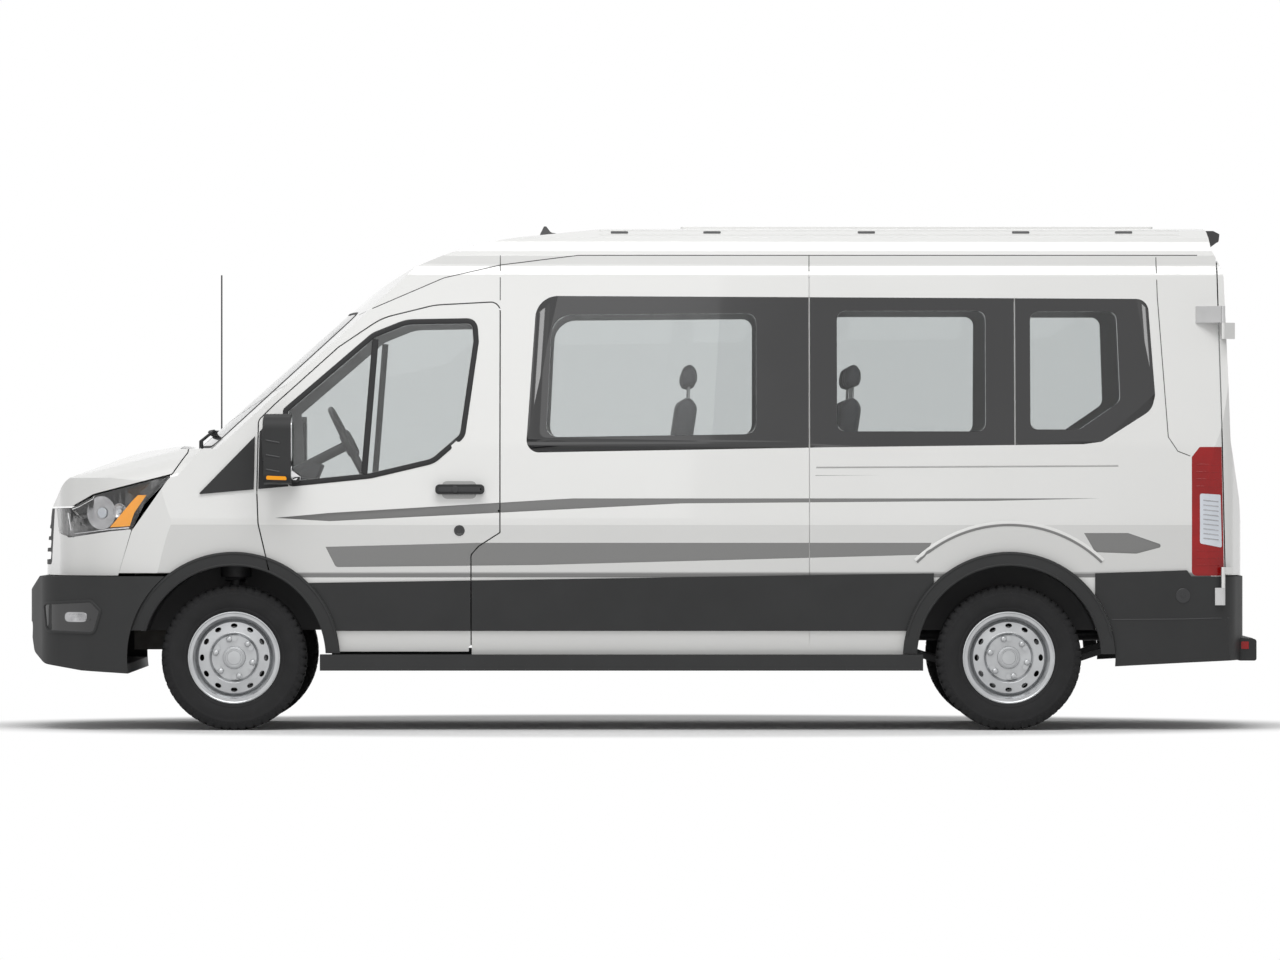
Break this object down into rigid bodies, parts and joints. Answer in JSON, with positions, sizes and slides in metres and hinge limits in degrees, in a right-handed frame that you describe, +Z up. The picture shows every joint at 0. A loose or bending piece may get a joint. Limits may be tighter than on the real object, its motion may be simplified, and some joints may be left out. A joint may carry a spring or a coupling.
{
  "type": "long-wheelbase mid-roof passenger van",
  "caption": "White passenger van with dark side windows, black bumpers and lower trim, steel wheels and a raised roof; doors, hood, wheels and steering move.",
  "frame": {"origin": "on the ground under the centre of the whole van", "axes": "+X to the rear, +Y to the van's right, +Z up"},
  "size_m": [5.9799, 2.4706, 2.462],
  "materials": {
    "white_paint": "gloss",
    "dark_glass": "tinted",
    "clear_glass": "clear",
    "black_plastic": "grained",
    "gloss_black": "gloss",
    "lamp_clear": "clear lens",
    "lamp_red": "lens",
    "chassis_black": "satin",
    "cast_iron": "rough",
    "hinge_steel": "satin",
    "wheel_steel": "silver",
    "tyre": "matte",
    "seat_fabric": "woven",
    "cabin_plastic": "grained"
  },
  "bodies": {
    "body": {"floor_pan": "white_paint", "chassis_rails": "chassis_black", "wheel_liners": "black_plastic", "side_left": "white_paint", "side_right": "white_paint", "sliding_door": "white_paint", "side_glass": "dark_glass", "roof": "white_paint", "windscreen": "clear_glass", "fenders": "white_paint", "front_fascia": "white_paint", "grille": "black_plastic", "headlamps": "lamp_clear", "front_bumper": "black_plastic", "rear_bumper": "black_plastic", "tail_lamps": "lamp_red", "side_cladding": "black_plastic", "running_boards": "black_plastic", "front_suspension": "chassis_black", "rear_axle": "chassis_black", "engine": "cast_iron", "tank_and_exhaust": "chassis_black", "seats": "seat_fabric", "dashboard": "cabin_plastic", "cowl_and_wipers": "black_plastic", "roof_fittings": "gloss_black", "panel_hinges": "hinge_steel"},
    "hood": {"hood": "white_paint"},
    "steering_wheel": {"steering_wheel": "cabin_plastic"},
    "front_door_left": {"front_door_left": "white_paint", "door_glass_left": "dark_glass", "door_trim_left": "black_plastic", "mirror_left": "black_plastic"},
    "rear_door_left": {"rear_door_left": "white_paint", "rear_glass_left": "dark_glass"},
    "knuckle_left": {"knuckle_left": "cast_iron"},
    "front_wheel_left": {"front_wheel_left": "wheel_steel", "front_tyre_left": "tyre"},
    "rear_wheel_left": {"rear_wheel_left": "wheel_steel", "rear_tyre_left": "tyre"},
    "front_door_right": {"front_door_right": "white_paint", "door_glass_right": "dark_glass", "door_trim_right": "black_plastic", "mirror_right": "black_plastic"},
    "rear_door_right": {"rear_door_right": "white_paint", "rear_glass_right": "dark_glass"},
    "knuckle_right": {"knuckle_right": "cast_iron"},
    "front_wheel_right": {"front_wheel_right": "wheel_steel", "front_tyre_right": "tyre"},
    "rear_wheel_right": {"rear_wheel_right": "wheel_steel", "rear_tyre_right": "tyre"}
  },
  "joints": [
    {"name": "hood_hinge", "type": "hinge", "parent": "body", "child": "hood", "pos_m": [-2.186, 0, 1.368], "axis": [0, 1, 0], "range_deg": [0, 60]},
    {"name": "front_door_hinge_left", "type": "hinge", "parent": "body", "child": "front_door_left", "pos_m": [-1.852, -1.03, 1], "axis": [0, 0, 1], "range_deg": [-65, 0]},
    {"name": "front_door_hinge_right", "type": "hinge", "parent": "body", "child": "front_door_right", "pos_m": [-1.852, 1.03, 1], "axis": [0, 0, 1], "range_deg": [0, 65]},
    {"name": "rear_door_hinge_left", "type": "hinge", "parent": "body", "child": "rear_door_left", "pos_m": [2.818, -1.033, 1], "axis": [0, 0, 1], "range_deg": [-180, 0]},
    {"name": "rear_door_hinge_right", "type": "hinge", "parent": "body", "child": "rear_door_right", "pos_m": [2.818, 1.033, 1], "axis": [0, 0, 1], "range_deg": [0, 180]},
    {"name": "steering_left", "type": "hinge", "parent": "body", "child": "knuckle_left", "pos_m": [-1.965, -0.775, 0.351], "axis": [0, 0, 1], "range_deg": [-32, 32]},
    {"name": "steering_right", "type": "hinge", "parent": "body", "child": "knuckle_right", "pos_m": [-1.965, 0.775, 0.351], "axis": [0, 0, 1], "range_deg": [-32, 32]},
    {"name": "steering_wheel_turn", "type": "hinge", "parent": "body", "child": "steering_wheel", "pos_m": [-1.425, -0.43, 1.385], "axis": [0.891, 0, 0.454], "range_deg": [-448, 448]},
    {"name": "front_wheel_spin_left", "type": "hinge", "parent": "knuckle_left", "child": "front_wheel_left", "pos_m": [-1.965, -0.867, 0.351], "axis": [0, 1, 0], "continuous": true},
    {"name": "front_wheel_spin_right", "type": "hinge", "parent": "knuckle_right", "child": "front_wheel_right", "pos_m": [-1.965, 0.867, 0.351], "axis": [0, 1, 0], "continuous": true},
    {"name": "rear_wheel_spin_left", "type": "hinge", "parent": "body", "child": "rear_wheel_left", "pos_m": [1.785, -0.867, 0.351], "axis": [0, 1, 0], "continuous": true},
    {"name": "rear_wheel_spin_right", "type": "hinge", "parent": "body", "child": "rear_wheel_right", "pos_m": [1.785, 0.867, 0.351], "axis": [0, 1, 0], "continuous": true}
  ],
  "couplings": [
    {"joint": "steering_right", "follows": "steering_left", "ratio": 1},
    {"joint": "steering_wheel_turn", "follows": "steering_left", "ratio": 14}
  ]
}
